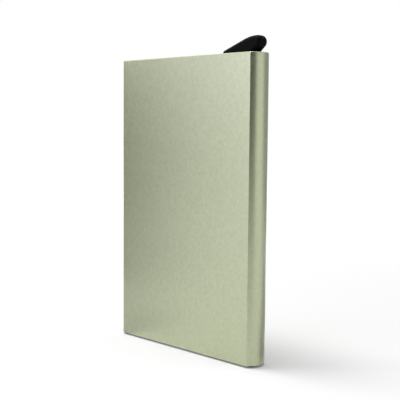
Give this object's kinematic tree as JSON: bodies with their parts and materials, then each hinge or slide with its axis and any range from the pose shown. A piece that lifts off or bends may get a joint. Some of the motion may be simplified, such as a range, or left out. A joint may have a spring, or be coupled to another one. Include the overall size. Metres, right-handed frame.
{
  "type": "card holder",
  "caption": "Slim extruded aluminium card holder with bowed sides, a card mouth at one end and a black corner lever at the other that swings a stepped arm to push the cards out as a fan.",
  "frame": {"origin": "middle of the card mouth, on the surface that the holder stands on", "axes": "+X across the width towards the lever's nose, +Y through the thickness towards the wall with the felt strips, +Z along the cards from the mouth to the lever end"},
  "size_m": [0.064, 0.0082, 0.101],
  "materials": {
    "case_aluminium": "bead-blasted and anodised sage green, satin",
    "frame_plastic": "moulded black, fine texture",
    "lever_plastic": "moulded black, satin",
    "pin_steel": "ground",
    "strip_felt": "needled felt"
  },
  "bodies": {
    "case": {"case_sleeve": "case_aluminium", "frame_front": "frame_plastic", "frame_rear": "frame_plastic", "pivot_pin": "pin_steel", "stop_pin": "pin_steel", "felt_strip_left": "strip_felt", "felt_strip_right": "strip_felt"},
    "lever": {"eject_lever": "lever_plastic"}
  },
  "joints": [
    {"name": "lever_pivot", "type": "hinge", "parent": "case", "child": "lever", "pos_m": [0.022, 0, 0.091], "axis": [0, -1, 0], "range_deg": [0, 38]}
  ]
}
